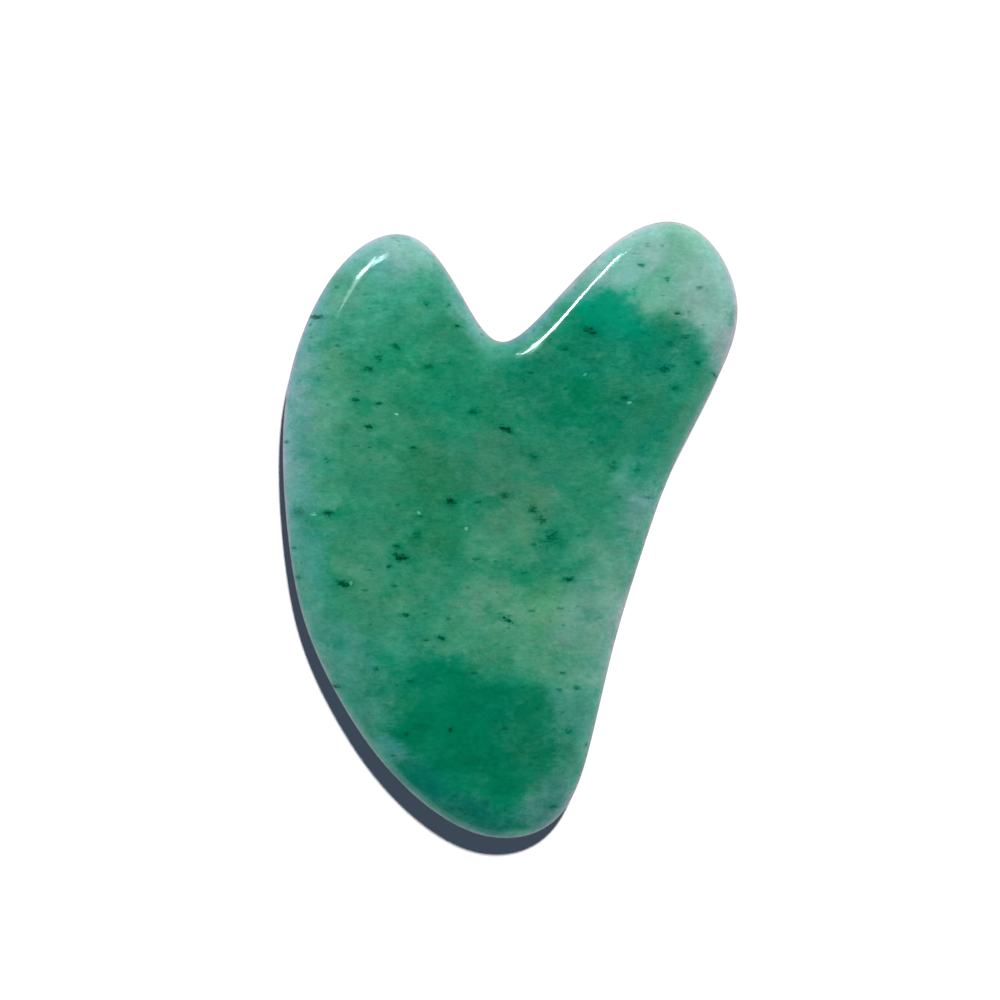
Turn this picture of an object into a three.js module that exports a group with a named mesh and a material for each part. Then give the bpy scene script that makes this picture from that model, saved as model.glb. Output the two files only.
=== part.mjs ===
// Gua sha scraper: one flat board of polished green quartz, cut from a single slab.
// The outline is a lopsided two-lobed heart. A deep rounded notch parts a short
// lobe from a long one, a long convex scraping edge runs down the -X side, and a
// nearly straight, faintly hollow edge runs down the +X side. Every edge is
// rounded over between two flat, parallel faces.
//
// Units are millimetres. +Z is up through the thickness, +Y runs along the board
// towards the lobes, and the origin is the middle of the outline's box on the
// lower face. The board is a mirror image of itself about its mid-thickness.

import * as THREE from 'three';

// ---------------------------------------------------------------- dimensions

const LENGTH = 85.0; // along Y, from the foot to the tip of the long lobe
const WIDTH = 54.1; // along X, over the whole outline
const THICKNESS = 6.0; // between the two flat faces

const EDGE_RINGS = 9; // steps from the equator to each flat face
const EDGE_POWER = 1.8; // 2 is an ellipse; below 2 the edge is a soft bevel

// Control points of the outline, counter-clockwise from the middle of the +X
// side, with the width in from the rim over which the edge is rounded there.
const OUTLINE = [
  //   x       y     edge width
  [ 24.58,  11.24,  3.4], // hollow side
  [ 26.74,  23.87,  3.4],
  [ 27.92,  35.53,  3.5], // long lobe, outer shoulder
  [ 16.48,  45.28,  2.9], // long lobe, tip
  [  6.81,  38.05,  2.3], // long lobe, inner flank
  [  0.44,  19.38,  4.4], // floor of the notch
  [ -4.39,  19.16,  3.6],
  [-16.83,  32.58,  3.6], // short lobe, tip
  [-25.98,  24.74,  4.5], // short lobe, outer shoulder
  [-27.77,   9.20,  5.0], // convex side
  [-25.12,  -1.95,  5.2],
  [-20.50, -13.01,  5.2],
  [-14.92, -23.73,  4.8],
  [ -6.31, -32.31,  4.2],
  [  3.35, -39.55,  3.8],
  [ 17.01, -44.24,  3.6], // foot
  [ 27.44, -38.38,  3.5],
  [ 26.60, -25.51,  3.4], // foot runs into the hollow side
  [ 25.05, -12.64,  3.4],
  [ 24.78,  -0.95,  3.4],
];

const SAMPLES_PER_SPAN = 10; // one span of the curve for each control point
const RIM_SAMPLES = OUTLINE.length * SAMPLES_PER_SPAN;

// ------------------------------------------------------------------- outline

// Closed uniform cubic B-spline. It is drawn towards its control points
// without having to pass through them.
class ClosedBSpline extends THREE.Curve {
  constructor(points) {
    super();
    this.points = points;
  }

  getPoint(t, target = new THREE.Vector3()) {
    const count = this.points.length;
    const place = (((t % 1) + 1) % 1) * count;
    const span = Math.floor(place);
    const u = place - span; // 0 to 1 along the span
    const weights = [
      (1 - u) ** 3 / 6,
      (3 * u ** 3 - 6 * u ** 2 + 4) / 6,
      (-3 * u ** 3 + 3 * u ** 2 + 3 * u + 1) / 6,
      u ** 3 / 6,
    ];
    target.set(0, 0, 0);
    weights.forEach((weight, k) => {
      target.addScaledVector(this.points[(span + k - 1 + count) % count], weight);
    });
    return target;
  }
}

// The spline's z carries the edge width, so the rounding swells and narrows as
// smoothly as the outline itself.
function sampleOutline() {
  const curve = new ClosedBSpline(OUTLINE.map((row) => new THREE.Vector3(...row)));
  return Array.from({ length: RIM_SAMPLES }, (_, k) => {
    const point = curve.getPoint(k / RIM_SAMPLES);
    return { x: point.x, y: point.y, edge: point.z };
  });
}

// Centres the samples and stretches their box to exactly WIDTH by LENGTH.
function fitToSize(samples) {
  const box = new THREE.Box2().setFromPoints(samples);
  const middle = box.getCenter(new THREE.Vector2());
  const extent = box.getSize(new THREE.Vector2());
  return samples.map(({ x, y, edge }) => ({
    x: (x - middle.x) * (WIDTH / extent.x),
    y: (y - middle.y) * (LENGTH / extent.y),
    edge,
  }));
}

// Samples of the rim: place, edge width and unit outward direction.
function makeRim() {
  const samples = fitToSize(sampleOutline());
  return samples.map((sample, k) => {
    const before = samples[(k + RIM_SAMPLES - 1) % RIM_SAMPLES];
    const after = samples[(k + 1) % RIM_SAMPLES];
    const along = new THREE.Vector2(after.x - before.x, after.y - before.y).normalize();
    return { ...sample, out: new THREE.Vector2(along.y, -along.x) };
  });
}

// --------------------------------------------------------------------- board

// The edge's section, from the lower face round to the upper: each ring's height
// and the share of the edge width by which it is drawn in. Each half is a quarter
// superellipse. It turns quickly out of the flat face, falls away as a soft
// bevel, and turns quickly again to stand upright at the equator.
function makeEdgeSection() {
  const half = THICKNESS / 2;
  const section = [];
  for (let step = -EDGE_RINGS; step <= EDGE_RINGS; step += 1) {
    const angle = (step / EDGE_RINGS) * (Math.PI / 2);
    const rise = Math.abs(Math.sin(angle)) ** (2 / EDGE_POWER);
    section.push({
      z: half + half * Math.sign(angle) * rise,
      draw: 1 - Math.abs(Math.cos(angle)) ** (2 / EDGE_POWER),
    });
  }
  return section;
}

function makeBoardGeometry() {
  const rim = makeRim();
  const rings = makeEdgeSection().map(({ z, draw }) => rim.map(({ x, y, edge, out }) => {
    const inset = edge * draw;
    return new THREE.Vector3(x - out.x * inset, y - out.y * inset, z);
  }));
  const top = rings.length - 1;
  const indices = [];
  const vertex = (ring, k) => ring * RIM_SAMPLES + (k % RIM_SAMPLES);

  // rounded edge, two triangles to each cell between neighbouring rings
  for (let ring = 0; ring < top; ring += 1) {
    for (let k = 0; k < RIM_SAMPLES; k += 1) {
      const start = vertex(ring, k);
      const opposite = vertex(ring + 1, k + 1);
      indices.push(start, vertex(ring, k + 1), opposite);
      indices.push(start, opposite, vertex(ring + 1, k));
    }
  }

  // Flat faces, filled from their own rings. Coordinates are rounded to the
  // mesh's precision only after filling.
  const fillRing = (ring) => THREE.ShapeUtils.triangulateShape(
    rings[ring].map(({ x, y }) => new THREE.Vector2(x, y)),
    [],
  );
  for (const [a, b, c] of fillRing(0)) {
    indices.push(vertex(0, a), vertex(0, c), vertex(0, b)); // wound to face down
  }
  for (const [a, b, c] of fillRing(top)) {
    indices.push(vertex(top, a), vertex(top, b), vertex(top, c));
  }

  const geometry = new THREE.BufferGeometry().setFromPoints(rings.flat());
  geometry.setIndex(indices);
  geometry.computeVertexNormals();
  return geometry;
}

function makeStone() {
  return new THREE.MeshStandardMaterial({
    name: 'polished_stone',
    color: new THREE.Color().setRGB(0.27, 0.58, 0.47, THREE.SRGBColorSpace), // soft green
    roughness: 0.14, // polished
    metalness: 0.0,
  });
}

function makeBoard() {
  const board = new THREE.Mesh(makeBoardGeometry(), makeStone());
  board.name = 'scraper_stone';
  return board;
}

// ------------------------------------------------------------------ assembly

const scraper = new THREE.Group();
scraper.name = 'gua_sha_scraper';
scraper.add(makeBoard());

export default scraper;
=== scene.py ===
# A flat, polished green stone scraping board: a long lobe and a short lobe with a
# notch between them, narrowing to a foot. It lies flat with its thickness along Z
# and its upper face towards +Z. Its grain runs 19 degrees from +X towards +Y, and
# the camera looks straight down with the grain level. Board sizes are in mm.

import math

import bpy
import numpy as np
from mathutils import Matrix, Quaternion, Vector, noise
from mathutils.geometry import delaunay_2d_cdt


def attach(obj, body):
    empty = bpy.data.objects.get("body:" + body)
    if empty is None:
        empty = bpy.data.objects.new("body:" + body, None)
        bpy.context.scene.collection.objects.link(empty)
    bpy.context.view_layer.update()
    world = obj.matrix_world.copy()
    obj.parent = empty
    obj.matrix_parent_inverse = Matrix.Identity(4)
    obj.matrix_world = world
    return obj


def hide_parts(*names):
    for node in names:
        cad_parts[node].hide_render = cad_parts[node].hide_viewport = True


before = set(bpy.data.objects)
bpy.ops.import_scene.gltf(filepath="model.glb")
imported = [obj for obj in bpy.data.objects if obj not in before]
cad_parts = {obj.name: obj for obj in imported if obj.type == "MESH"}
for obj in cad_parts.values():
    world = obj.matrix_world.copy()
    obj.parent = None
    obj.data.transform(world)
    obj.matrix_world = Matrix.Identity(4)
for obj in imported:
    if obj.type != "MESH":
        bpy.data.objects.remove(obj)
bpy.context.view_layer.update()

NODE = "scraper_stone"
MM = 0.001
UPPER, LOWER = 1, -1
SIDES = (UPPER, LOWER)
GRAIN = math.radians(19)

# --------------------------------------------------------------- board outline
# The fine board is drawn from the frame's own rings: its rim at mid-thickness,
# and the border of its flat face, which gives the width of the edge rounding.

FINER = 4               # fine points around the rim for each one in the frame
RINGS = 22              # rings from the rim at mid-thickness up to the flat face
POWER = 1.8             # the edge's section: 2 is an ellipse, below 2 a soft bevel
GRID = 0.38             # spacing of the flat face's grid
GRID_CLEARANCE = GRID * 0.8     # least distance from the grid to the border's points
LEVEL_SLACK = 2e-3      # how far a ring's points may lie from its level


def doubled_area(ring):
    """Twice the area of a closed ring, positive when it runs counter-clockwise."""
    after = np.roll(ring, -1, 0)
    return np.sum(ring[:, 0] * after[:, 1] - ring[:, 1] * after[:, 0])


def chain(points):
    """Points of one closed ring, put in order round it, counter-clockwise."""
    order = [int(np.argmax(points[:, 0]))]
    left = list(range(len(points)))
    left.remove(order[0])
    while left:
        distance = np.hypot(*(points[left] - points[order[-1]]).T)
        nearest = left[int(np.argmin(distance))]
        order.append(nearest)
        left.remove(nearest)
    ring = points[order]
    return ring if doubled_area(ring) > 0 else ring[::-1]


def frame_rings():
    """The frame's rim and flat-face border, and its lowest and highest z."""
    points = np.array([vertex.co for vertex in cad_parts[NODE].data.vertices], float) / MM
    points = np.unique(np.round(points, 4), axis=0)
    low, high = points[:, 2].min(), points[:, 2].max()

    def ring_at(level):
        return chain(points[np.abs(points[:, 2] - level) < LEVEL_SLACK][:, :2])

    return ring_at((low + high) / 2), ring_at(high), low, high


class PeriodicSpline:
    """The closed cubic spline through values at 0, 1, 2..."""

    def __init__(self, values):
        unit = np.eye(len(values))
        system = 4 * unit + np.roll(unit, 1, 0) + np.roll(unit, -1, 0)
        self.values = values
        self.second = np.linalg.solve(
            system, 6 * (np.roll(values, -1, 0) - 2 * values + np.roll(values, 1, 0)))

    def span(self, turn):
        """Shares of each span before and after turn, then its end values and bends."""
        index = np.floor(turn).astype(int)
        share = (turn - index)[:, None]
        start, end = index % len(self.values), (index + 1) % len(self.values)
        return (share, 1 - share, self.values[start], self.values[end],
                self.second[start], self.second[end])

    def at(self, turn):
        share, rest, start, end, bend_a, bend_b = self.span(turn)
        bend = ((rest ** 3 - rest) * bend_a + (share ** 3 - share) * bend_b) / 6
        return rest * start + share * end + bend

    def slope(self, turn):
        share, rest, start, end, bend_a, bend_b = self.span(turn)
        return end - start + ((1 - 3 * rest ** 2) * bend_a + (3 * share ** 2 - 1) * bend_b) / 6


def fine_outline(rim, face):
    """Fine rim points, their outward directions and the edge's width at each."""
    shift = min(range(len(face)),
                key=lambda s: np.hypot(*(rim - np.roll(face, -s, 0)).T).sum())
    width = np.hypot(*(rim - np.roll(face, -shift, 0)).T)[:, None]
    turn = np.arange(len(rim) * FINER) / FINER
    curve = PeriodicSpline(rim)
    along = curve.slope(turn)
    along /= np.hypot(*along.T)[:, None]
    outward = np.stack([along[:, 1], -along[:, 0]], -1)
    return curve.at(turn), outward, PeriodicSpline(width).at(turn)[:, 0]


frame_rim, frame_face, Z_LOW, Z_HIGH = frame_rings()
RIM, OUTWARD, EDGE_WIDTH = fine_outline(frame_rim, frame_face)
N_RIM = len(RIM)
HALF = (Z_HIGH - Z_LOW) / 2
MID = (Z_HIGH + Z_LOW) / 2

ANGLES = np.linspace(0, math.pi / 2, RINGS + 1)
INSET = 1 - np.abs(np.cos(ANGLES)) ** (2 / POWER)    # as a share of the edge width
INSET[-1] = 1.0
RISE = np.sin(ANGLES) ** (2 / POWER)                 # as a share of the half-thickness


def section_ring(step, side):
    plan = RIM - OUTWARD * (EDGE_WIDTH * INSET[step])[:, None]
    return np.column_stack([plan, np.full(N_RIM, MID + side * HALF * RISE[step])])


TOP_RINGS = [section_ring(step, UPPER) for step in range(RINGS + 1)]
BORDER = TOP_RINGS[-1][:, :2]

# ------------------------------------------------------------------- flat face

CELL_CORNERS = ((0, 0), (1, 0), (1, 1), (0, 1))
# steps to the neighbouring cell, then the two corners of the side shared with it
CELL_SIDES = (((0, -1), (0, 0), (1, 0)), ((0, 1), (0, 1), (1, 1)),
              ((-1, 0), (0, 0), (0, 1)), ((1, 0), (1, 0), (1, 1)))


def distance_to(points, ring):
    """Distance in plan from each point to the nearest point of a ring."""
    near = np.full(len(points), np.inf)
    for x, y in ring:
        near = np.minimum(near, np.hypot(points[:, 0] - x, points[:, 1] - y))
    return near


def inside_of(points, ring):
    inside = np.zeros(len(points), bool)
    for start, end in zip(ring, np.roll(ring, -1, 0)):
        if start[1] != end[1]:
            crosses = (start[1] > points[:, 1]) != (end[1] > points[:, 1])
            rise = points[:, 1] - start[1]
            cut = (end[0] - start[0]) * rise / (end[1] - start[1]) + start[0]
            inside ^= crosses & (points[:, 0] < cut)
    return inside


def face_grid():
    """The square cells that fit inside BORDER, and the number of each corner used."""
    low, high = BORDER.min(0), BORDER.max(0)
    columns, lines = np.ceil((high - low) / GRID).astype(int) + 1
    grid_x, grid_y = np.meshgrid(low[0] + np.arange(columns) * GRID,
                                 low[1] + np.arange(lines) * GRID, indexing="ij")
    points = np.stack([grid_x.ravel(), grid_y.ravel()], -1)
    clear = inside_of(points, BORDER) & (distance_to(points, BORDER) > GRID_CLEARANCE)
    clear = clear.reshape(columns, lines)
    windows = [np.s_[i:i + columns - 1, j:j + lines - 1] for i, j in CELL_CORNERS]
    cells = np.logical_and.reduce([clear[window] for window in windows])
    used = np.zeros((columns, lines), bool)
    for window in windows:
        used[window] |= cells
    number = -np.ones((columns, lines), int)
    number[used] = np.arange(used.sum())
    return np.stack([grid_x[used], grid_y[used]], -1), cells, number


def grid_outline(cells, number):
    """Cell sides that have a cell on one side only."""
    padded = np.pad(cells, 1)
    edges = []
    for i, j in zip(*np.nonzero(cells)):
        for step, first, second in CELL_SIDES:
            if not padded[i + 1 + step[0], j + 1 + step[1]]:
                edges.append((number[i + first[0], j + first[1]],
                              number[i + second[0], j + second[1]]))
    return edges


def stitched_strip(grid_points, cells, edges):
    """Triangles between the grid's outline and BORDER."""
    low = BORDER.min(0)
    touched = sorted({point for edge in edges for point in edge})
    local = {point: N_RIM + k for k, point in enumerate(touched)}
    points = [Vector(p) for p in BORDER] + [Vector(grid_points[p]) for p in touched]
    fixed = [(k, (k + 1) % N_RIM) for k in range(N_RIM)]
    fixed += [(local[first], local[second]) for first, second in edges]
    result = delaunay_2d_cdt(points, fixed, [list(range(N_RIM))], 1, 1e-7)
    corners, faces, origins = result[0], result[2], result[3]
    # each output point is one input point; map it to the face's numbering
    numbers = [origin[0] if origin[0] < N_RIM else N_RIM + touched[origin[0] - N_RIM]
               for origin in origins]
    strip = []
    for face in faces:
        centre = sum((corners[v] for v in face), Vector((0, 0))) / len(face)
        i = int(math.floor((centre.x - low[0]) / GRID))
        j = int(math.floor((centre.y - low[1]) / GRID))
        on_grid = 0 <= i < cells.shape[0] and 0 <= j < cells.shape[1] and cells[i, j]
        if not on_grid:
            strip.append([numbers[v] for v in face])
    return strip


def flat_face():
    """A square grid inside BORDER, with a stitched strip out to the border.

    Faces number the border's points first, then the grid's."""
    grid_points, cells, number = face_grid()
    faces = [[N_RIM + number[i + right, j + up] for right, up in CELL_CORNERS]
             for i, j in zip(*np.nonzero(cells))]
    faces += stitched_strip(grid_points, cells, grid_outline(cells, number))
    plan = np.vstack([BORDER, grid_points])
    return grid_points, [f if doubled_area(plan[f]) > 0 else f[::-1] for f in faces]


GRID_POINTS, FLAT_FACES = flat_face()

# ------------------------------------------------------------------ board mesh

# the polished surface isn't quite true: long shallow swells, always inward
SWELL_MEAN = -0.022
# amount in mm; size along x, y and z in mm; shift of the noise
SWELLS = ((0.018, (17.0, 17.0, 9.0), (3.1, -1.7, 0)),
          (0.0035, (6.5, 6.5, 6.0), (-8.2, 4.4, 2.0)))
UV_GAP = 1.2            # space left round each half of the texture layout


def board_points():
    """The rim, then for each side its rings 1 to RINGS and its grid.

    Also gives the first point's number of each row, by side and ring."""
    rows = [TOP_RINGS[0]]
    starts = {UPPER: [0], LOWER: [0]}
    count = N_RIM
    for side in SIDES:
        level = np.full(len(GRID_POINTS), MID + side * HALF)
        parts = [section_ring(step, side) for step in range(1, RINGS + 1)]
        for part in parts + [np.column_stack([GRID_POINTS, level])]:
            starts[side].append(count)
            rows.append(part)
            count += len(part)
    return np.vstack(rows), starts


def row_of(side, step):
    """Where one ring lies among the points, or the grid for step RINGS + 1."""
    start = STARTS[side][step]
    return slice(start, start + (N_RIM if step <= RINGS else len(GRID_POINTS)))


def board_faces():
    faces, face_sides = [], []
    for side in SIDES:
        found = []
        for lower, upper in zip(STARTS[side][:RINGS], STARTS[side][1:RINGS + 1]):
            for k in range(N_RIM):
                after = (k + 1) % N_RIM
                found.append([lower + k, lower + after, upper + after, upper + k])
        border, grid = STARTS[side][RINGS:]
        for face in FLAT_FACES:
            found.append([border + v if v < N_RIM else grid + v - N_RIM for v in face])
        faces += [face if side == UPPER else face[::-1] for face in found]
        face_sides += [side] * len(found)
    return faces, face_sides


def swell_inward(points):
    """Moves the points along their normals by the swells."""
    normals = np.zeros((len(points), 3))
    for side in SIDES:
        for step, angle in enumerate(ANGLES):
            angle = min(max(angle, 1e-4), math.pi / 2 - 1e-4)
            out = HALF * math.sin(angle) ** (2 / POWER - 1) * math.cos(angle)
            up = EDGE_WIDTH * math.cos(angle) ** (2 / POWER - 1) * math.sin(angle)
            length = np.hypot(out, up)
            row = row_of(side, step)
            normals[row, :2] = OUTWARD * (out / length)[:, None]
            normals[row, 2] = side * up / length
        normals[row_of(side, RINGS + 1), 2] = side
    swell = np.full(len(points), SWELL_MEAN)
    for amount, size, shift in SWELLS:
        for i, point in enumerate(points):
            place = [c / s + t for c, s, t in zip(point, size, shift)]
            swell[i] += amount * noise.noise(Vector(place))
    points += normals * np.minimum(swell, 0.0)[:, None]


def depth_from_rim():
    """How far in from the rim each point lies, in plan."""
    depth = np.zeros(len(POINTS))
    near_rim = distance_to(GRID_POINTS, RIM[::2])
    for side in SIDES:
        for step in range(RINGS + 1):
            depth[row_of(side, step)] = EDGE_WIDTH * INSET[step]
        depth[row_of(side, RINGS + 1)] = near_rim
    return depth


def corner_uvs():
    """Upper half on the left, lower half mirrored on the right.

    The rounded edge is laid out at its true length, so nothing is stretched."""
    arc = np.zeros((RINGS + 1, N_RIM))      # from each ring to the flat face
    for step in range(RINGS - 1, -1, -1):
        arc[step] = arc[step + 1] + np.linalg.norm(TOP_RINGS[step + 1] - TOP_RINGS[step], axis=1)
    laid = np.zeros((len(POINTS), 2))
    for side in SIDES:
        for step in range(RINGS + 1):
            laid[row_of(side, step)] = BORDER + OUTWARD * arc[step][:, None]
        laid[row_of(side, RINGS + 1)] = GRID_POINTS
    outline = BORDER + OUTWARD * arc[0][:, None]
    low = outline.min(0)
    width, height = outline.max(0) - low
    span = max(2 * width + 3 * UV_GAP, height + 2 * UV_GAP)
    place = (laid - low)[CORNERS]
    x = np.where(CORNER_SIDES == UPPER, place[:, 0] + UV_GAP,
                 2 * width + 2 * UV_GAP - place[:, 0])
    return np.stack([x, place[:, 1] + UV_GAP], -1) / span


POINTS, STARTS = board_points()
FACES, FACE_SIDES = board_faces()
swell_inward(POINTS)

# one entry for each corner of each face
FACE_SIZES = np.array([len(face) for face in FACES])
CORNERS = np.concatenate([np.asarray(face, int) for face in FACES])
CORNER_FACES = np.repeat(np.arange(len(FACES)), FACE_SIZES)
CORNER_SIDES = np.array(FACE_SIDES)[CORNER_FACES]

# --------------------------------------------------------- the stone's pattern
# Places are in mm along and across the grain, from the board's origin. Colours
# are display values, 0 to 255: the material mixes them as they are and turns
# them into linear light once, at the end.

BASE_COLOUR = (46, 132, 101)
ZONE_SPREAD = 1.25      # how far each zone's fading edge reaches past its half-sizes

# broad zones: along, across, half-length, half-width, turn (degrees), colour,
# strength, core (the share of the reach at full strength)
ZONES = [
    # middle of the board
    (-12, 9, 10, 13, 0, (63, 140, 108), 0.75, 0.1),
    (-12, -10, 10, 8, 0, (65, 136, 105), 0.75, 0.1),
    (-8, 17, 8, 6.5, -15, (52, 146, 111), 0.8, 0.1),
    (-8, 25.5, 5.5, 5.5, 0, (64, 158, 129), 0.9, 0.1),
    (0, 12, 11, 5, -20, (26, 129, 94), 0.7, 0.1),
    (13, 13.5, 10, 6.5, 0, (27, 123, 95), 0.9, 0.2),
    (20, 9, 9, 6, 0, (31, 122, 93), 0.85, 0.1),
    (-4, 1.5, 6.5, 5, 0, (48, 114, 77), 0.75, 0.1),
    (4, 2, 5, 7, 10, (63, 127, 100), 0.75, 0.4),
    (11, 1, 6, 5, 0, (55, 127, 103), 0.6, 0.1),
    (-3.5, -6, 7.5, 3.5, -25, (31, 117, 78), 0.6, 0.1),
    (5.5, -7, 6, 4, 0, (71, 142, 111), 0.7, 0.4),
    # long lobe
    (18, 22, 7.5, 5.5, 40, (19, 134, 105), 0.95, 0.3),
    (19, 25, 4, 3, 40, (14, 148, 116), 0.8, 0.4),
    (25, 17.5, 6.5, 5, -20, (33, 128, 104), 0.85, 0.1),
    (27, 29.5, 8, 6, 35, (119, 177, 154), 0.95, 0.5),
    (33, 25, 5.5, 8, 0, (134, 177, 165), 0.9, 0.4),
    # pale lower band
    (12, -15.5, 11, 5, -8, (84, 151, 108), 0.85, 0.15),
    (4, -16, 7, 4.5, 0, (96, 149, 123), 0.7, 0.4),
    (17, -18, 6, 7, 0, (116, 155, 147), 0.7, 0.4),
    # deep green towards the foot
    (-6, -22.5, 8, 4, -10, (24, 129, 102), 0.8, 0.1),
    (2, -31, 12.5, 9.5, -18, (6, 111, 80), 1, 0.45),
    (-2, -27.5, 6, 4.5, -30, (0, 115, 83), 0.9, 0.2),
    (9.5, -33, 6, 4, -18, (30, 113, 84), 0.8, 0.4),
    (-5, -39, 8, 3.5, -38, (4, 103, 92), 0.8, 0.1),
    (2.5, -43, 8, 3.5, -8, (14, 97, 87), 0.8, 0.1),
    (12.5, -41, 5, 5, 40, (71, 123, 117), 0.75, 0.4),
    (14.5, -28, 3.5, 8, -14, (78, 142, 131), 0.6, 0.1),
    # short lobe and the long outer side; its pale zones on the rim also carry painted reflection,
    # the pale veil the rounded edge mirrors
    (-10.5, 31, 7, 4, 20, (116, 174, 171), 0.9, 0.15),
    (-20.5, 20, 3.5, 9, -20, (92, 155, 151), 0.7, 0.4),
    (-21.3, 6, 4.3, 13, 4, (107, 155, 156), 0.75, 0.4),
    (-20.5, -9, 3.5, 10, 12, (58, 142, 129), 0.75, 0.1),
    (-15.5, -23, 3.6, 9, 28, (75, 141, 131), 0.7, 0.4),
    # round the notch; its pale zones on the rim also carry painted reflection from the rounded edge
    (4, 17.8, 5, 2.3, 0, (39, 143, 107), 0.5, 0.4),
    (10.4, 23.5, 2.3, 8, -46, (68, 140, 138), 0.65, 0.4),
    (0, 24, 3, 7, 28, (112, 169, 164), 0.55, 0.4),
    # paler and milkier patches between them
    (-13, 23.5, 4, 6, -35, (89, 166, 142), 0.7, 0.4),
    (-18, 12, 3.2, 9, -4, (83, 153, 123), 0.7, 0.4),
    (-18, 0, 3.2, 8, 6, (64, 147, 114), 0.65, 0.1),
    (-7, 30.9, 5, 4.2, 20, (133, 181, 170), 0.7, 0.1),
    (9, 18.6, 3, 2, 40, (80, 158, 140), 0.4, 0.3),
    (22, 31, 6, 3, 48, (143, 189, 183), 0.7, 0.4),
    (17, 27, 3.5, 2.2, 48, (121, 166, 160), 0.6, 0.4),
    (19.5, -8.5, 3.2, 6.5, -14, (99, 154, 133), 0.75, 0.4),
    (23.3, 0.5, 2.8, 5.5, -20, (78, 149, 134), 0.7, 0.4),
    (34.5, 20, 3, 5, -20, (123, 147, 142), 0.75, 0.4),
    (4, -20.5, 7, 3.5, -8, (74, 140, 107), 0.7, 0.4),
    (11, -23, 5, 3.5, -30, (87, 151, 121), 0.7, 0.4),
    (-2, -19, 4, 3, 0, (74, 147, 114), 0.5, 0.4),
    (15.5, -23.5, 3, 5, -14, (92, 152, 129), 0.6, 0.4),
    (25.4, 8, 2, 5.5, -22, (18, 120, 97), 0.5, 0.1),
    (-20.5, 27.5, 3.4, 2.4, 40, (112, 170, 168), 0.6, 0.2),
    (-9.3, -32.5, 3, 2.6, -35, (92, 146, 152), 0.6, 0.2),
    (23.2, -3.8, 2.2, 4.5, -20, (117, 157, 154), 0.6, 0.2),
    (21, 22.9, 5, 2.5, -32, (5, 138, 107), 0.75, 0.35),
    # darker, and browner, wisps
    (-12.6, -26.5, 3.4, 2.4, -40, (24, 115, 86), 0.65, 0.2),
    (19.3, -5.8, 2.6, 2.6, 0, (39, 126, 94), 0.6, 0.2),
    (14.5, 11.5, 4, 3, 0, (9, 115, 78), 0.7, 0.4),
    (16.5, 18.3, 3, 2.6, 0, (33, 117, 87), 0.6, 0.4),
    (9, -1.5, 2.6, 5.5, 10, (87, 133, 103), 0.6, 0.4),
    (5.5, -2.5, 1.5, 4.5, 5, (84, 130, 102), 0.45, 0.4),
    (6, -24.5, 6, 2.6, -10, (40, 134, 101), 0.6, 0.1),
    (-10, -19.5, 5.5, 3, -10, (65, 141, 115), 0.6, 0.1),
]
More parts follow.
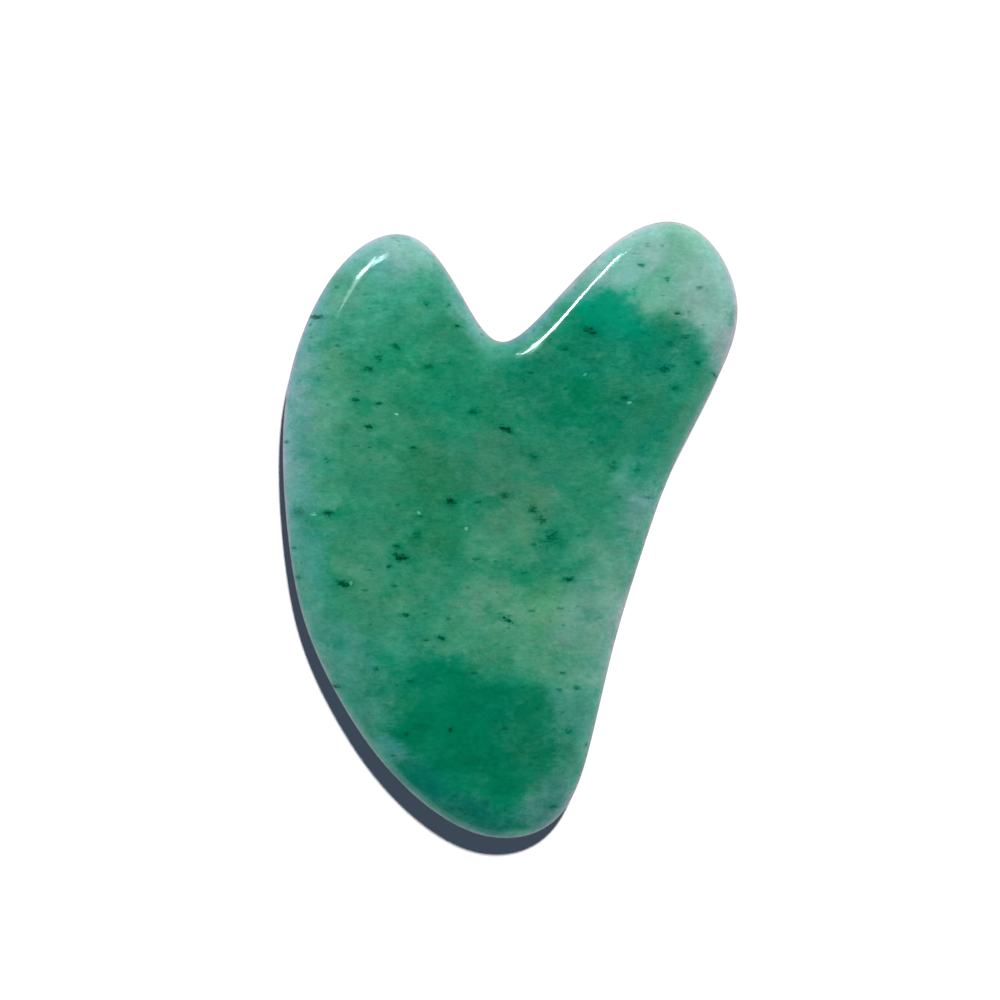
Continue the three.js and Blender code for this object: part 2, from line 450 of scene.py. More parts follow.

# dark mineral needles near the upper face: along, across, half-length, half-width,
# turn (degrees), darkness (below nought a pale crystal with painted sparkle), softness (0 sharp, 1
# blurred by the stone over it)
NEEDLES = [
    (-19.5, 22.6, 1.15, 0.26, -5, 0.95, 0.15), (5.2, 7.9, 1.05, 0.34, -22, 0.95, 0.2),
    (16.4, 20.7, 0.95, 0.40, -20, 0.95, 0.25), (26.0, 15.7, 0.75, 0.42, -8, 0.95, 0.3),
    (-1.8, -1.6, 0.70, 0.45, -5, 1.0, 0.35), (-8.4, -8.9, 1.00, 0.38, -12, 1.0, 0.3),
    (-15.8, -12.4, 0.85, 0.33, -12, 0.85, 0.3), (-17.9, -3.1, 0.85, 0.32, -6, 0.8, 0.4),
    (5.6, -17.1, 0.75, 0.24, -30, 0.95, 0.1), (-17.0, -25.9, 0.75, 0.26, -4, 0.9, 0.2),
    (11.3, -6.2, 0.95, 0.75, -25, 0.62, 0.8), (13.5, -11.8, 0.75, 0.26, 10, 0.85, 0.25),
    (-7.9, -16.5, 0.65, 0.22, -8, 0.8, 0.2), (-5.1, 24.3, 0.35, 0.28, 0, 0.6, 0.3),
    (-2.2, 24.1, 0.35, 0.30, 20, 0.55, 0.4), (-1.0, 21.3, 0.35, 0.22, 0, 0.8, 0.15),
    (-9.1, 18.7, 0.70, 0.30, -15, 0.55, 0.5), (-11.2, 17.3, 0.55, 0.45, 0, 0.62, 0.5),
    (-12.6, 15.8, 0.60, 0.28, 0, 0.7, 0.3), (-4.7, 16.0, 0.60, 0.35, 0, 0.5, 0.5),
    (-14.3, 11.7, 0.50, 0.26, 0, 0.65, 0.3), (-11.2, 11.2, 0.45, 0.22, 0, 0.65, 0.3),
    (-12.5, 8.2, 0.55, 0.26, -15, 0.75, 0.25), (-6.7, 5.4, 0.40, 0.24, -10, 0.7, 0.3),
    (-18.0, 3.8, 0.45, 0.22, -5, 0.6, 0.35), (1.1, 10.1, 0.55, 0.32, -10, 0.6, 0.45),
    (9.0, 4.3, 0.60, 0.30, -20, 0.45, 0.5), (-23.5, 6.2, 0.40, 0.18, 0, 0.5, 0.3),
    (27.8, 23.0, 0.40, 0.22, -10, 0.65, 0.3), (26.5, 27.5, 0.30, 0.24, 0, 0.6, 0.4),
    (23.0, 29.3, 0.60, 0.24, -5, 0.5, 0.5), (13.2, 18.3, 0.45, 0.30, 0, 0.45, 0.5),
    (30.4, 16.6, 0.40, 0.24, -10, 0.6, 0.35), (32.7, 15.0, 0.55, 0.20, -35, 0.6, 0.35),
    (28.8, 19.9, 0.75, 0.26, 5, 0.5, 0.45), (26.9, 19.0, 0.60, 0.30, -20, 0.5, 0.5),
    (20.8, 12.0, 0.55, 0.26, -30, 0.55, 0.35), (19.2, 3.0, 0.65, 0.60, 0, 0.4, 0.8),
    (27.5, 13.2, 0.50, 0.26, 0, 0.5, 0.5), (23.9, -1.1, 0.60, 0.26, -10, 0.4, 0.5),
    (-6.3, -6.0, 0.55, 0.40, 0, 0.6, 0.5), (-9.1, -7.5, 0.55, 0.32, 0, 0.8, 0.4),
    (-9.9, -10.1, 0.40, 0.24, 0, 0.65, 0.3), (5.2, -0.8, 0.60, 0.40, 0, 0.55, 0.6),
    (8.9, -2.7, 0.65, 0.45, -15, 0.6, 0.6), (10.1, -4.0, 0.60, 0.40, -30, 0.6, 0.55),
    (-3.1, -19.4, 0.55, 0.22, -12, 0.75, 0.2), (-5.0, -19.7, 0.45, 0.24, 0, 0.5, 0.4),
    (-1.9, -31.4, 0.30, 0.24, 0, 0.75, 0.2), (-7.1, -25.1, 0.45, 0.24, 10, 0.55, 0.4),
    (-11.6, -23.5, 0.40, 0.26, 0, 0.45, 0.5), (-21.9, -11.6, 0.35, 0.20, 0, 0.7, 0.25),
    (-22.5, -7.7, 0.40, 0.20, 0, 0.6, 0.3), (-21.8, -3.0, 0.80, 0.50, 0, 0.45, 0.7),
    (22.5, 2.5, 0.45, 0.35, 0, 0.35, 0.6), (7.7, -10.9, 0.55, 0.40, 0, 0.4, 0.7),
    (12.8, -24.0, 0.40, 0.22, 0, 0.5, 0.4), (14.6, -25.9, 0.55, 0.28, -20, 0.5, 0.4),
    (13.5, -31.6, 0.60, 0.30, -10, 0.4, 0.5), (-7.6, -32.0, 0.30, 0.22, 0, 0.5, 0.3),
    (11.5, -41.6, 0.55, 0.24, 10, 0.45, 0.4),
    # pale broken crystals, painted with the sparkle of light they catch
    (21.4, 11.3, 0.42, 0.15, 8, -1.0, 0.0), (-8.9, 9.8, 0.30, 0.12, -20, -0.9, 0.0),
    (0.2, -5.1, 0.24, 0.20, 0, -0.9, 0.0), (-14.9, -12.3, 0.30, 0.22, 40, -0.8, 0.0),
    (-6.0, -3.1, 0.28, 0.20, -30, -0.8, 0.0), (-19.8, -3.2, 0.40, 0.22, 20, -0.6, 0.2),
    (15.7, 15.0, 0.26, 0.14, 0, -0.6, 0.0),
]

# the same kind of needles for the lower face
BACK_NEEDLES = [
    (-9.0, 24.0, 0.90, 0.26, -8, 0.85, 0.2), (-16.0, 14.0, 0.70, 0.36, 12, 0.7, 0.4),
    (-3.0, 11.0, 1.00, 0.32, -16, 0.9, 0.2), (6.0, 9.0, 0.60, 0.28, 5, 0.7, 0.3),
    (14.0, 15.0, 0.85, 0.34, -22, 0.9, 0.25), (22.0, 24.0, 0.70, 0.28, 14, 0.75, 0.3),
    (29.0, 21.0, 0.50, 0.30, -10, 0.7, 0.4), (19.0, 5.0, 0.90, 0.42, -12, 0.75, 0.5),
    (-12.0, -2.0, 1.10, 0.30, -14, 0.95, 0.15), (-2.0, -8.0, 0.60, 0.40, 0, 0.7, 0.5),
    (7.0, -3.0, 0.75, 0.26, -30, 0.8, 0.25), (12.0, -14.0, 0.80, 0.36, 8, 0.8, 0.3),
    (-14.0, -17.0, 0.65, 0.28, -8, 0.8, 0.3), (0.0, -22.0, 0.80, 0.34, -18, 0.85, 0.3),
    (6.0, -34.0, 0.55, 0.26, -5, 0.7, 0.3), (-8.0, -34.0, 0.60, 0.28, 10, 0.6, 0.4),
    (13.0, -30.0, 0.70, 0.24, -14, 0.7, 0.3), (3.0, -41.0, 0.45, 0.26, 0, 0.6, 0.4),
]
NEEDLE_LAYERS = 2       # how many of the nearest needles each face knows of
FAR_AWAY = 9.0          # a place outside any needle


def grain_place(points):
    """Board x, y to places along and across the grain."""
    cos, sin = math.cos(GRAIN), math.sin(GRAIN)
    x, y = points[:, 0], points[:, 1]
    return np.stack([x * cos + y * sin, -x * sin + y * cos], -1)


def within(points, needle):
    """Places from a needle's middle, as shares of its half-sizes grown by softness."""
    along, across, half_length, half_width, turn, _, softness = needle.T
    grow = 1.25 + 0.5 * softness
    cos, sin = np.cos(np.radians(turn)), np.sin(np.radians(turn))
    x, y = points[:, 0] - along, points[:, 1] - across
    return np.stack([(x * cos + y * sin) / (half_length * grow),
                     (-x * sin + y * cos) / (half_width * grow)], -1)


def carry_needles(mesh):
    """Gives every face its corners' places within its nearest needles."""
    places = grain_place(POINTS[:, :2])[CORNERS]
    first_corners = np.concatenate([[0], np.cumsum(FACE_SIZES)[:-1]])
    middles = np.add.reduceat(places, first_corners, axis=0) / FACE_SIZES[:, None]
    tables = [(side, np.array(needles)) for side, needles in
              ((UPPER, NEEDLES), (LOWER, BACK_NEEDLES))]
    for layer in range(NEEDLE_LAYERS):
        place_in = np.full((len(CORNERS), 3), FAR_AWAY)
        nature = np.zeros((len(CORNERS), 3))        # darkness, softness, unused
        for side, table in tables:
            reach = np.stack([np.hypot(*within(middles, needle).T) for needle in table], -1)
            nearest = np.argsort(reach, axis=1)[:, layer]
            mine = CORNER_SIDES == side
            chosen = table[nearest[CORNER_FACES][mine]]
            place_in[mine, :2] = within(places[mine], chosen)
            place_in[mine, 2] = 0.0
            nature[mine, :2] = chosen[:, 5:]
        for name, values in ((f"needle_{layer}", place_in), (f"needle_nature_{layer}", nature)):
            attribute = mesh.attributes.new(name, "FLOAT_VECTOR", "CORNER")
            attribute.data.foreach_set("vector", values.astype(np.float32).ravel())


def make_board():
    mesh = bpy.data.meshes.new("polished_board")
    mesh.from_pydata([tuple(point * MM) for point in POINTS], [],
                     [tuple(int(v) for v in face) for face in FACES])
    mesh.update()
    mesh.uv_layers.new(name="OFBake").data.foreach_set("uv", corner_uvs().ravel())
    mesh.polygons.foreach_set("use_smooth", [True] * len(mesh.polygons))
    # mm in from the rim, for the painted edge glow
    margin = mesh.attributes.new("margin", "FLOAT", "POINT")
    margin.data.foreach_set("value", depth_from_rim().astype(np.float32))
    carry_needles(mesh)
    mesh.update()

    made = bpy.data.objects.new("polished_board", mesh)
    bpy.context.scene.collection.objects.link(made)
    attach(made, "root")
    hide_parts(NODE)
    made.visible_diffuse = False    # keeps its green off the floor, and the shadow even
    return made


board = make_board()

# -------------------------------------------------------------- stone material

STONE_IOR = 1.54
DISPLAY_GAMMA = 2.2


def tone(red, green, blue):
    return (red / 255, green / 255, blue / 255, 1.0)


class Nodes:
    """Short calls for wiring a node tree."""

    def __init__(self, tree):
        self.tree = tree

    def add(self, kind, **props):
        node = self.tree.nodes.new(kind)
        for name, value in props.items():
            setattr(node, name, value)
        return node

    def put(self, socket, value):
        """Links an output to the socket, or sets the socket's own value."""
        if isinstance(value, bpy.types.NodeSocket):
            self.tree.links.new(value, socket)
        else:
            socket.default_value = value

    def math(self, operation, *values):
        node = self.add("ShaderNodeMath", operation=operation)
        for socket, value in zip(node.inputs, values):
            self.put(socket, value)
        return node.outputs[0]

    def vmath(self, operation, *vectors):
        node = self.add("ShaderNodeVectorMath", operation=operation)
        for socket, vector in zip(node.inputs, vectors):
            self.put(socket, vector)
        return node.outputs["Value" if operation in ("LENGTH", "DOT_PRODUCT") else 0]

    def scaled(self, vector, factor):
        node = self.add("ShaderNodeVectorMath", operation="SCALE")
        self.put(node.inputs[0], vector)
        self.put(node.inputs["Scale"], factor)
        return node.outputs[0]

    def mix(self, factor, first, second):
        node = self.add("ShaderNodeMix", data_type="RGBA")
        for socket, value in ((0, factor), (6, first), (7, second)):
            self.put(node.inputs[socket], value)
        return node.outputs[2]

    def mix_value(self, factor, first, second):
        node = self.add("ShaderNodeMix", data_type="FLOAT")
        for socket, value in ((0, factor), (2, first), (3, second)):
            self.put(node.inputs[socket], value)
        return node.outputs[0]

    def ramp(self, value, over, to=(0.0, 1.0)):
        """A smooth step of value over one range to another."""
        node = self.add("ShaderNodeMapRange", interpolation_type="SMOOTHSTEP", clamp=False)
        for name, given in (("Value", value), ("From Min", over[0]), ("From Max", over[1]),
                            ("To Min", to[0]), ("To Max", to[1])):
            self.put(node.inputs[name], given)
        return node.outputs["Result"]

    def part(self, colour, k):
        """Red, green or blue of a colour, for k = 0, 1 or 2."""
        node = self.add("ShaderNodeSeparateColor")
        self.put(node.inputs[0], colour)
        return node.outputs[k]


class StoneNodes(Nodes):
    """Adds places in the stone, in mm with the grain along x, and its textures."""

    def __init__(self, tree):
        super().__init__(tree)
        coord = self.add("ShaderNodeTexCoord").outputs["Object"]
        self.at_mm = self.scaled(coord, 1000.0)
        self.geometry = self.add("ShaderNodeNewGeometry")
        self.skin = self.along_grain(self.at_mm)        # on the surface itself
        self.shallow = self.along_grain(self.below(0.35))
        self.deep = self.along_grain(self.below(1.4))
        tangle = self.wander(self.shallow, (0.7, 1), (3, 8, 2),
                             scale=0.9, detail=5.0, rough=0.65, reach=2.6)
        drift = self.wander(self.deep, (0.75, 1), scale=0.13, detail=4.0, rough=0.55, reach=9.0)
        ripple = self.wander(self.deep, (0.7, 1), (7, 3, 1),
                             scale=0.55, detail=4.0, rough=0.6, reach=2.4)
        jag = self.wander(self.skin, shift=(2, 2, 6), scale=1.3, detail=4.0, rough=0.7, reach=0.9)
        # places with wandering edges, for clouds, for wisps and for crystals
        self.cloud = self.vmath("ADD", self.vmath("ADD", self.deep, tangle),
                                self.vmath("ADD", drift, ripple))
        self.torn = self.vmath("ADD", self.shallow, tangle)
        self.jagged = self.vmath("ADD", self.shallow, jag)

    def below(self, depth):
        """Where a ray that enters the stone here reaches, depth mm further in."""
        back = self.scaled(self.geometry.outputs["Incoming"], -1.0)
        bent = self.add("ShaderNodeVectorMath", operation="REFRACT")
        self.put(bent.inputs[0], back)
        self.put(bent.inputs[1], self.geometry.outputs["Normal"])
        bent.inputs["Scale"].default_value = 1 / STONE_IOR
        return self.vmath("ADD", self.at_mm, self.scaled(bent.outputs[0], depth))

    def mapped(self, vector, **settings):
        kind = settings.pop("kind", "POINT")
        node = self.add("ShaderNodeMapping", vector_type=kind)
        self.put(node.inputs["Vector"], vector)
        for name, value in settings.items():
            node.inputs[name].default_value = value
        return node.outputs[0]

    def along_grain(self, vector):
        return self.mapped(vector, Rotation=(0, 0, -GRAIN))

    def stretched(self, vector, stretch, shift):
        return self.mapped(vector, Scale=(*stretch, 1.0), Location=shift)

    def noise(self, place, stretch=(1, 1), shift=(0, 0, 0), *, scale, detail, rough,
              output="Fac"):
        place = self.stretched(place, stretch, shift)
        node = self.add("ShaderNodeTexNoise")
        for name, value in (("Vector", place), ("Scale", scale), ("Detail", detail),
                            ("Roughness", rough)):
            self.put(node.inputs[name], value)
        return node.outputs[output]

    def swing(self, *args, **settings):
        """Noise centred on nought."""
        return self.math("SUBTRACT", self.noise(*args, **settings), 0.5)

    def swing3(self, *args, **settings):
        """Three-way noise centred on nought."""
        colour = self.noise(*args, output="Color", **settings)
        return self.vmath("SUBTRACT", colour, (0.5, 0.5, 0.5))

    def wander(self, *args, reach, **settings):
        """A three-way shift of place, in mm."""
        return self.scaled(self.swing3(*args, **settings), reach)

    def voronoi(self, stretch, shift, scale):
        node = self.add("ShaderNodeTexVoronoi")
        self.put(node.inputs["Vector"], self.stretched(self.jagged, stretch, shift))
        node.inputs["Scale"].default_value = scale
        return node

    def cells(self, *, scale, shift, amount):
        """Crystal grains, each a little lighter or darker than the next."""
        node = self.voronoi((0.7, 1.15), shift, scale)
        level = self.part(node.outputs["Color"], 0)
        return self.math("MULTIPLY", self.math("SUBTRACT", level, 0.5), amount)

    def flecks(self, *, scale, share, size, shift):
        """Spots in the given share of the cells."""
        node = self.voronoi((0.5, 1.1), shift, scale)
        chosen = self.math("LESS_THAN", self.part(node.outputs["Color"], 0), share)
        spot = self.ramp(node.outputs["Distance"], over=(size * 0.35, size), to=(1.0, 0.0))
        return self.math("MULTIPLY", spot, chosen)

    def attribute(self, name, output="Vector"):
        return self.add("ShaderNodeAttribute", attribute_name=name).outputs[output]


def zone_colour(stone):
    colour = tone(*BASE_COLOUR)
    for along, across, half_length, half_width, turn, rgb, strength, core in ZONES:
        # distance from the zone's middle, as a share of its reach
        place = stone.mapped(
            stone.cloud, kind="TEXTURE", Location=(along, across, 0),
            Rotation=(0, 0, math.radians(turn)),
            Scale=(half_length * ZONE_SPREAD, half_width * ZONE_SPREAD, 1e4))
        share = stone.ramp(stone.vmath("LENGTH", place), over=(core, 1.0), to=(strength, 0.0))
        colour = stone.mix(share, colour, tone(*rgb))
    return colour


def add_variation(stone, colour):
    """Light and dark at every size, a little longer along the grain.

    Also gives the clearness, which calms the deepest greens."""
    broad = stone.swing(stone.shallow, (0.82, 1), scale=0.30, detail=6.0, rough=0.95)
    fine = stone.swing(stone.skin, (0.55, 1.35), (4, 9, 2), scale=1.9, detail=3.0, rough=0.8)
    value = stone.math("ADD", stone.math("MULTIPLY", broad, 0.30),
                       stone.math("MULTIPLY", fine, 0.12))
    clearer = stone.ramp(stone.part(colour, 0), over=(0.03, 0.14), to=(0.55, 1.0))
    value = stone.math("MULTIPLY", value, clearer)
    # red wanders on its own, between emerald and olive, and blue a little
    warm = stone.swing(stone.deep, (0.8, 1), (11, 5, 3), scale=0.24, detail=6.0, rough=0.72)
    cool = stone.swing(stone.deep, (0.8, 1), (-6, 15, 8), scale=0.3, detail=4.0, rough=0.6)
    shift = stone.add("ShaderNodeCombineXYZ")
    stone.put(shift.inputs[0], stone.math("ADD", value, stone.math("MULTIPLY", warm, 0.24)))
    stone.put(shift.inputs[1], value)
    stone.put(shift.inputs[2], stone.math("ADD", value, stone.math("MULTIPLY", cool, 0.05)))
    return stone.vmath("ADD", colour, shift.outputs[0]), clearer


def add_wisps(stone, colour, clearer):
    """Wisps of deeper emerald and of milkier quartz, with torn edges."""
    in_green = stone.ramp(stone.part(colour, 1), over=(0.56, 0.68), to=(1.0, 0.3))
    emerald = stone.noise(stone.torn, (0.75, 1), (8, 1, 5), scale=0.26, detail=6.0, rough=0.62)
    emerald = stone.ramp(emerald, over=(0.52, 0.66), to=(0.0, 0.34))
    colour = stone.mix(stone.math("MULTIPLY", emerald, in_green), colour, tone(2, 122, 84))
    milk = stone.noise(stone.torn, (0.75, 1), (1, 13, 7), scale=0.30, detail=6.0, rough=0.62)
    milk = stone.ramp(milk, over=(0.525, 0.68), to=(0.0, 0.22))
    return stone.mix(stone.math("MULTIPLY", milk, clearer), colour, tone(118, 166, 136))


def add_mosaic(stone, colour):
    mosaic = stone.math("ADD", stone.cells(scale=0.85, shift=(2, 6, 1), amount=0.020),
                        stone.cells(scale=2.1, shift=(7, 3, 5), amount=0.018))
    return stone.vmath("ADD", colour, stone.scaled((1.15, 1.0, 0.98), mosaic))


def add_painted_edge_glow(stone, colour):
    """Painted light: the glow of light through the narrow edge, and a lift where the bevel gets
    less light, are painted into the colour.
    """
    margin = stone.attribute("margin", "Fac")
    # painted glow, palest at the rim
    painted_glow = stone.math("POWER", stone.ramp(margin, over=(0.0, 2.2), to=(1.0, 0.0)), 2.0)
    colour = stone.vmath("ADD", colour, stone.scaled((0.116, 0.058, 0.102), painted_glow))
    # painted rim sheen: a reddish-grey line on the rim where it is seen edge-on
    facing = stone.add("ShaderNodeLayerWeight")
    facing.inputs["Blend"].default_value = 0.5
    painted_rim_sheen = stone.math("MULTIPLY", stone.ramp(margin, over=(0.0, 0.75), to=(1.0, 0.0)),
                          stone.ramp(facing.outputs["Facing"], over=(0.2, 0.7)))
    return stone.vmath("ADD", colour, stone.scaled((0.170, 0.000, 0.015), painted_rim_sheen))


def needle_marks(stone):
    """The needles' dark cores, and the stained green round them."""
    tear = stone.swing3(stone.skin, shift=(5, 2, 6), scale=2.1, detail=4.0, rough=0.75)
    tear = stone.vmath("MULTIPLY", tear, (1.3, 3.2, 0.0))
    strokes = stone.noise(stone.skin, (0.75, 3.4), (4, 4, 1), scale=1.5, detail=3.0, rough=0.6)
    strokes = stone.ramp(strokes, over=(0.40, 0.52), to=(0.25, 1.0))
    cores, stains = [], []
    for layer in range(NEEDLE_LAYERS):
        place_in = stone.attribute(f"needle_{layer}")
        nature = stone.add("ShaderNodeSeparateXYZ")
        stone.put(nature.inputs[0], stone.attribute(f"needle_nature_{layer}"))
        darkness, softness = nature.outputs[:2]
        distance = stone.vmath("LENGTH", stone.vmath("ADD", place_in, tear))
        sharp_to = stone.math("MULTIPLY_ADD", softness, -0.75, 0.55)
        core = stone.ramp(distance, over=(sharp_to, 0.98), to=(1.0, 0.0))
        core = stone.math("MULTIPLY", core, darkness)
        stain = stone.ramp(distance, over=(0.5, 2.3), to=(1.0, 0.0))
        stains.append(stone.math("MULTIPLY", stain, darkness))
        cores.append(stone.math("MULTIPLY", core, strokes))
    dark = stone.math("MINIMUM", stone.math("ADD", *cores), 1.0)
    return dark, stone.math("MAXIMUM", *stains)


def small_marks(stone):
    """Scattered small flecks and threads of the same mineral, all through the stone."""
    coarse = stone.flecks(scale=0.55, share=0.12, size=0.20, shift=(3, 1, 4))
    fine = stone.flecks(scale=1.1, share=0.14, size=0.26, shift=(9, 2, 6))
    small = stone.math("MAXIMUM", stone.math("MULTIPLY", coarse, 0.34),
                       stone.math("MULTIPLY", fine, 0.26))
    threads = stone.noise(stone.torn, (0.5, 1.5), (12, 3, 4), scale=0.8, detail=6.0, rough=0.7)
    return stone.math("MAXIMUM", small, stone.ramp(threads, over=(0.635, 0.74), to=(0.0, 0.42)))


def add_marks(stone, colour):
    """Needles, flecks, and pale crystals with painted sparkle. Also gives the darkness of the
    marks.
    """
    dark, stain = needle_marks(stone)
    small = stone.math("MULTIPLY", small_marks(stone), 0.9)
    colour = stone.vmath("SUBTRACT", colour, stone.scaled((0.085, 0.035, 0.040), stain))
    dark = stone.math("MINIMUM", stone.math("ADD", dark, small), 1.0)
    colour = stone.mix(stone.math("MULTIPLY", dark, 0.86), colour, (0.0, 0.20, 0.13, 1.0))
    colour = stone.vmath("SUBTRACT", colour, stone.scaled((0.14, 0.03, 0.03), dark))
    # the pale crystals' painted sparkle
    pale = stone.math("MAXIMUM", stone.math("MULTIPLY", dark, -1.0), 0.0)
    colour = stone.vmath("ADD", colour, stone.scaled((0.24, 0.26, 0.22), pale))
    # painted sparkle: pale specks lit like glints where the polish has broken through a crystal
    bright = stone.flecks(scale=0.45, share=0.025, size=0.12, shift=(5, 5, 5))
    return stone.mix(stone.math("MULTIPLY", bright, 0.6), colour, tone(190, 225, 205)), dark


def linear_light(stone, colour):
    node = stone.add("ShaderNodeGamma")
    stone.put(node.inputs["Color"], stone.vmath("MAXIMUM", colour, (0.004, 0.004, 0.004)))
    node.inputs["Gamma"].default_value = DISPLAY_GAMMA
    return node.outputs[0]


def polish_roughness(stone, dark):
    """Glassy, a touch duller where the flecks are and in faint clouds."""
    haze = stone.noise(stone.skin, shift=(1, 7, 3), scale=0.35, detail=3.0, rough=0.6)
    rough = stone.ramp(haze, over=(0.3, 0.7), to=(0.075, 0.13))
    duller = stone.math("MULTIPLY", stone.math("MAXIMUM", dark, 0.0), 0.12)
    return stone.math("ADD", rough, duller)


def polish_relief(stone):
    """Fine relief left by the polishing wheel, and pin-prick pits, in mm."""
    relief = stone.noise(stone.skin, shift=(6, 1, 9), scale=0.9, detail=3.0, rough=0.55)
    pits = stone.flecks(scale=0.8, share=0.10, size=0.09, shift=(8, 3, 1))
    bump = stone.add("ShaderNodeBump")
    bump.inputs["Strength"].default_value = 1.0
    bump.inputs["Distance"].default_value = MM
    stone.put(bump.inputs["Height"],
              stone.math("SUBTRACT", stone.math("MULTIPLY", relief, 0.006),
                         stone.math("MULTIPLY", pits, 0.02)))
    return bump.outputs[0]


def stone_material():
    material = bpy.data.materials.new("polished_stone_fine")
    material.use_nodes = True
    tree = material.node_tree
    tree.nodes.clear()
    output = tree.nodes.new("ShaderNodeOutputMaterial")
    bsdf = tree.nodes.new("ShaderNodeBsdfPrincipled")
    tree.links.new(bsdf.outputs[0], output.inputs["Surface"])

    stone = StoneNodes(tree)
    colour, clearer = add_variation(stone, zone_colour(stone))
    colour = add_wisps(stone, colour, clearer)
    colour = add_mosaic(stone, colour)
    colour = add_painted_edge_glow(stone, colour)
    colour, dark = add_marks(stone, colour)
    for name, value in (("Base Color", linear_light(stone, colour)),
                        ("Roughness", polish_roughness(stone, dark)),
                        ("IOR", STONE_IOR),
                        ("Normal", polish_relief(stone)),
                        ("Subsurface Weight", 0.5),
                        ("Subsurface Radius", (0.45, 1.0, 0.8)),
                        ("Subsurface Scale", 0.0016)):
        stone.put(bsdf.inputs[name], value)
    bsdf.subsurface_method = "RANDOM_WALK"
    return material


board.data.materials.append(stone_material())

# ----------------------------------------------------------------------- stage
# Stage sizes are in metres.

# the view's right and up, on the floor: the grain lies level in the view
RIGHT = Vector((math.cos(GRAIN), math.sin(GRAIN), 0))
UP = Vector((-math.sin(GRAIN), math.cos(GRAIN), 0))
AIM = Vector((4.798, 0.164, 3.0)) * MM      # what the camera and the lights face
VIEW_WIDTH = 0.131974                       # at AIM's height
LENS, SENSOR = 85, 36                       # mm
FLOOR_HALF = 3.0
FLOOR_DROP = 0.00002                        # keeps the floor clear of the board

scene = bpy.context.scene
scene.view_settings.view_transform = "Standard"
scene.view_settings.look = "None"
scene.view_settings.exposure = 0.0
scene.view_settings.gamma = 1.0


def make_floor():
    mesh = bpy.data.meshes.new("floor")
    corners = [(x * FLOOR_HALF, y * FLOOR_HALF, 0) for x, y in ((-1, -1), (1, -1), (1, 1), (-1, 1))]
    mesh.from_pydata(corners, [], [(0, 1, 2, 3)])
    made = bpy.data.objects.new("floor", mesh)
    made.location.z = -FLOOR_DROP
    scene.collection.objects.link(made)

    material = bpy.data.materials.new("floor_white")
    material.use_nodes = True
    nodes = Nodes(material.node_tree)
    bsdf = material.node_tree.nodes["Principled BSDF"]
    # the polish mirrors a dimmer floor, so the edge doesn't glow all round
    mirrored_by = nodes.add("ShaderNodeLightPath").outputs["Is Glossy Ray"]
    nodes.put(bsdf.inputs["Base Color"],
              nodes.mix(mirrored_by, (0.9, 0.9, 0.9, 1), (0.34, 0.36, 0.42, 1)))
    bsdf.inputs["Roughness"].default_value = 0.9
    bsdf.inputs["Specular IOR Level"].default_value = 0.0
    mesh.materials.append(material)
    return made


def make_camera():
    data = bpy.data.cameras.new("camera")
    data.lens = LENS
    data.sensor_width = SENSOR
    data.clip_start = 0.01
    camera = bpy.data.objects.new("camera", data)
    scene.collection.objects.link(camera)
    camera.location = AIM + Vector((0, 0, VIEW_WIDTH * LENS / SENSOR))
    camera.rotation_euler = Matrix((RIGHT, UP, Vector((0, 0, 1)))).transposed().to_euler()
    scene.camera = camera


floor = make_floor()
make_camera()

# ---------------------------------------------------------------------- lights

GLINT_COLOUR = (0.76, 1.0, 0.98)
STRIP_DISTANCE = 0.7

# parts of the slanting strip of light that the bevel mirrors, a bright middle and
# dimmer ends: name, bearing from the view's right, elevation, energy, width,
# height, spin; angles in degrees
STRIPS = (
    ("strip_middle", 130.8, 46.6, 0.52, 0.100, 0.048, 0),
    ("strip_core", 133.0, 49.8, 0.42, 0.062, 0.062, 45),
    ("strip_tip_end", 118.5, 46.3, 0.24, 0.138, 0.022, 23),
    ("strip_low_end", 125.0, 41.0, 0.16, 0.100, 0.024, 68),
    ("strip_high_end", 140.5, 55, 0.12, 0.13, 0.070, 56),
    ("strip_notch_end", 122.0, 53.5, 0.09, 0.110, 0.016, 117),
)

# gridded strips close in, each for one stretch of the long lobe: name, target
# right and up the view in mm, bearing, elevation, distance, energy, width, height,
# spin, spread
CLOSE_STRIPS = (
    ("strip_flank", (15.0, 24.6), 132, 46.5, 0.10, 0.00095, 0.028, 0.012, 0, 32),
    ("strip_tip", (20.1, 30.3), 125.6, 40.0, 0.08, 0.00036, 0.016, 0.0055, 65, 28),
)
CLOSE_TARGET_Z = 0.0055


def direction(right, up, elevation):
    level = (RIGHT * right + UP * up).normalized()
    angle = math.radians(elevation)
    return level * math.cos(angle) + Vector((0, 0, math.sin(angle)))


def at_bearing(bearing, elevation):
    angle = math.radians(bearing)
    return direction(math.cos(angle), math.sin(angle), elevation)


def new_light(name, kind, energy, reaches, towards, distance=1.0, spin=0.0, target=AIM, **props):
    """A light out along a direction from its target, facing it, that reaches one object."""
    data = bpy.data.lights.new(name, kind)
    data.energy = energy
    for prop, value in props.items():
        setattr(data, prop, value)
    light = bpy.data.objects.new(name, data)
    scene.collection.objects.link(light)
    out = Vector(towards).normalized()
    light.location = target + out * distance
    turned = (-out).to_track_quat("-Z", "Y") @ Quaternion((0, 0, 1), math.radians(spin))
    light.rotation_euler = turned.to_euler()
    reached = bpy.data.collections.new(light.name + "_reaches")
    reached.objects.link(reaches)
    light.light_linking.receiver_collection = reached
    return light


def unmirrored(*args, **props):
    """A light that the polish doesn't mirror."""
    new_light(*args, **props).visible_glossy = False


def glint(name, energy, towards, width, height, **props):
    """A light that only the board's polish shows."""
    light = new_light(name, "AREA", energy, board, towards, shape="ELLIPSE",
                      size=width, size_y=height, color=GLINT_COLOUR, **props)
    light.visible_diffuse = False
    return light


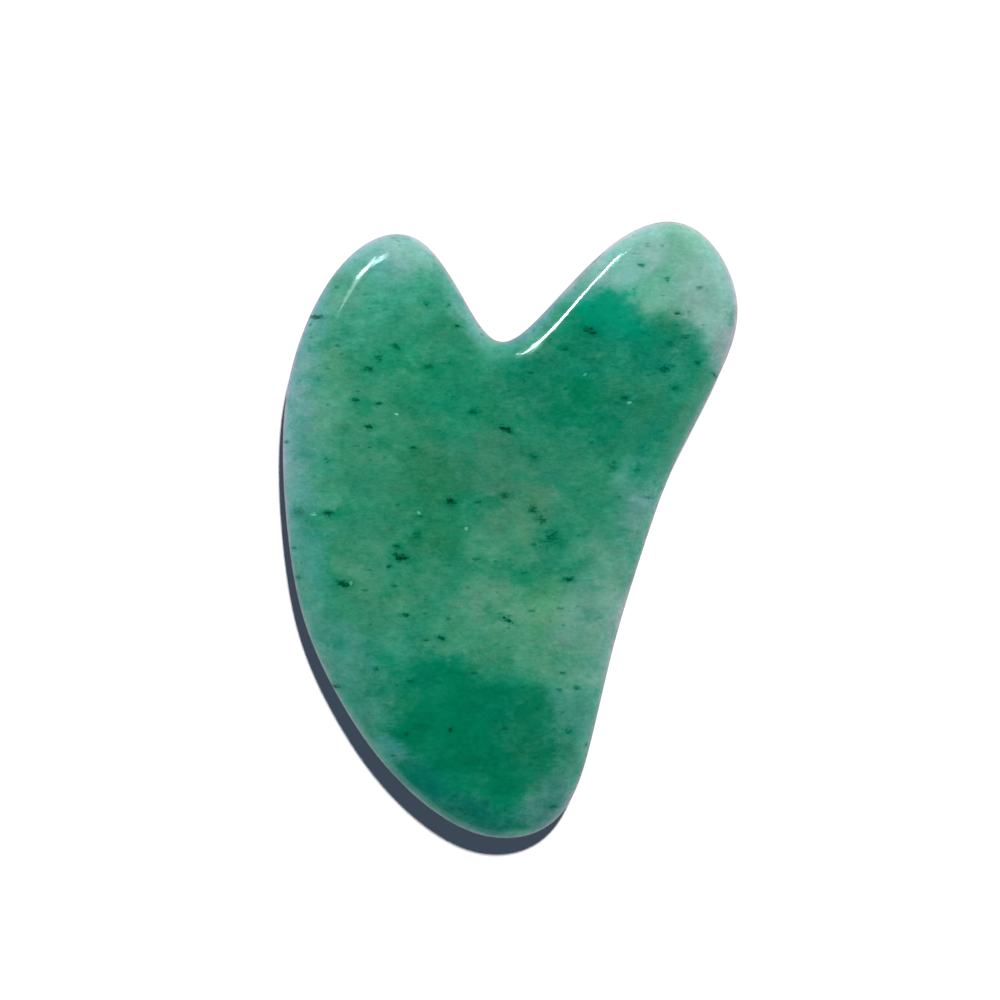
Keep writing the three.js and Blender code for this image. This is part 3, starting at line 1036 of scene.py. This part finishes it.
def make_lights():
    key_from = direction(0.33, 0.90, 51.5)
    unmirrored("key_on_floor", "SUN", 4.55, floor, key_from, angle=math.radians(4))
    unmirrored("key_on_board", "SUN", 1.7, board, key_from, angle=math.radians(12))
    unmirrored("soft_overhead", "AREA", 6.0, board, RIGHT * -0.15 + UP * 0.2 + Vector((0, 0, 1)),
               distance=0.9, shape="DISK", size=1.6)
    # low soft lights all round, so the bevel is as well lit as the flat face
    for k in range(6):
        unmirrored(f"low_ring_{k}", "SUN", 0.5, board, at_bearing(60 * k + 20, 14),
                   angle=math.radians(25))
    for name, bearing, elevation, energy, width, height, spin in STRIPS:
        glint(name, energy, at_bearing(bearing, elevation), width, height,
              distance=STRIP_DISTANCE, spin=spin)
    for (name, place, bearing, elevation, distance, energy, width, height, spin,
         spread) in CLOSE_STRIPS:
        target = (RIGHT * place[0] + UP * place[1]) * MM + Vector((0, 0, CLOSE_TARGET_Z))
        light = glint(name, energy, at_bearing(bearing, elevation), width, height,
                      distance=distance, spin=spin, target=target, spread=math.radians(spread))
        light.visible_camera = False


def make_world():
    world = bpy.data.worlds.new("studio")
    scene.world = world
    world.use_nodes = True
    world.node_tree.nodes.clear()
    nodes = Nodes(world.node_tree)
    output = nodes.add("ShaderNodeOutputWorld")
    background = nodes.add("ShaderNodeBackground")
    nodes.put(output.inputs["Surface"], background.outputs[0])
    path = nodes.add("ShaderNodeLightPath")
    glossy, seen = path.outputs["Is Glossy Ray"], path.outputs["Is Camera Ray"]
    look = nodes.add("ShaderNodeTexCoord").outputs["Generated"]
    height = nodes.vmath("DOT_PRODUCT", look, (0, 0, 1))
    level = nodes.vmath("NORMALIZE", nodes.vmath("MULTIPLY", look, (1, 1, 0)))
    up_view = nodes.vmath("DOT_PRODUCT", level, tuple(UP))
    # what the polish mirrors: pale walls up and beside the view, dark overhead and
    # down the view, with a pale band low down all round
    round_it = nodes.ramp(up_view, over=(-0.70, -0.22), to=(0.03, 1.0))
    up_it = nodes.ramp(height, over=(0.50, 0.975), to=(1.0, 0.0))
    wall = nodes.math("MULTIPLY", nodes.math("MULTIPLY", round_it, up_it), 0.75)
    low_band = nodes.ramp(height, over=(0.0, 0.12), to=(0.8, 0.0))
    mirrored = nodes.math("MAXIMUM", wall, low_band)
    # the camera sees plain white
    strength = nodes.mix_value(seen, nodes.mix_value(glossy, 0.10, mirrored), 1.0)
    tint = nodes.mix(glossy, (0.52, 0.72, 1.03, 1), (0.84, 0.88, 1.0, 1))
    nodes.put(background.inputs["Color"], nodes.mix(seen, tint, (1, 1, 1, 1)))
    nodes.put(background.inputs["Strength"], strength)


make_lights()
make_world()

bpy.context.view_layer.update()
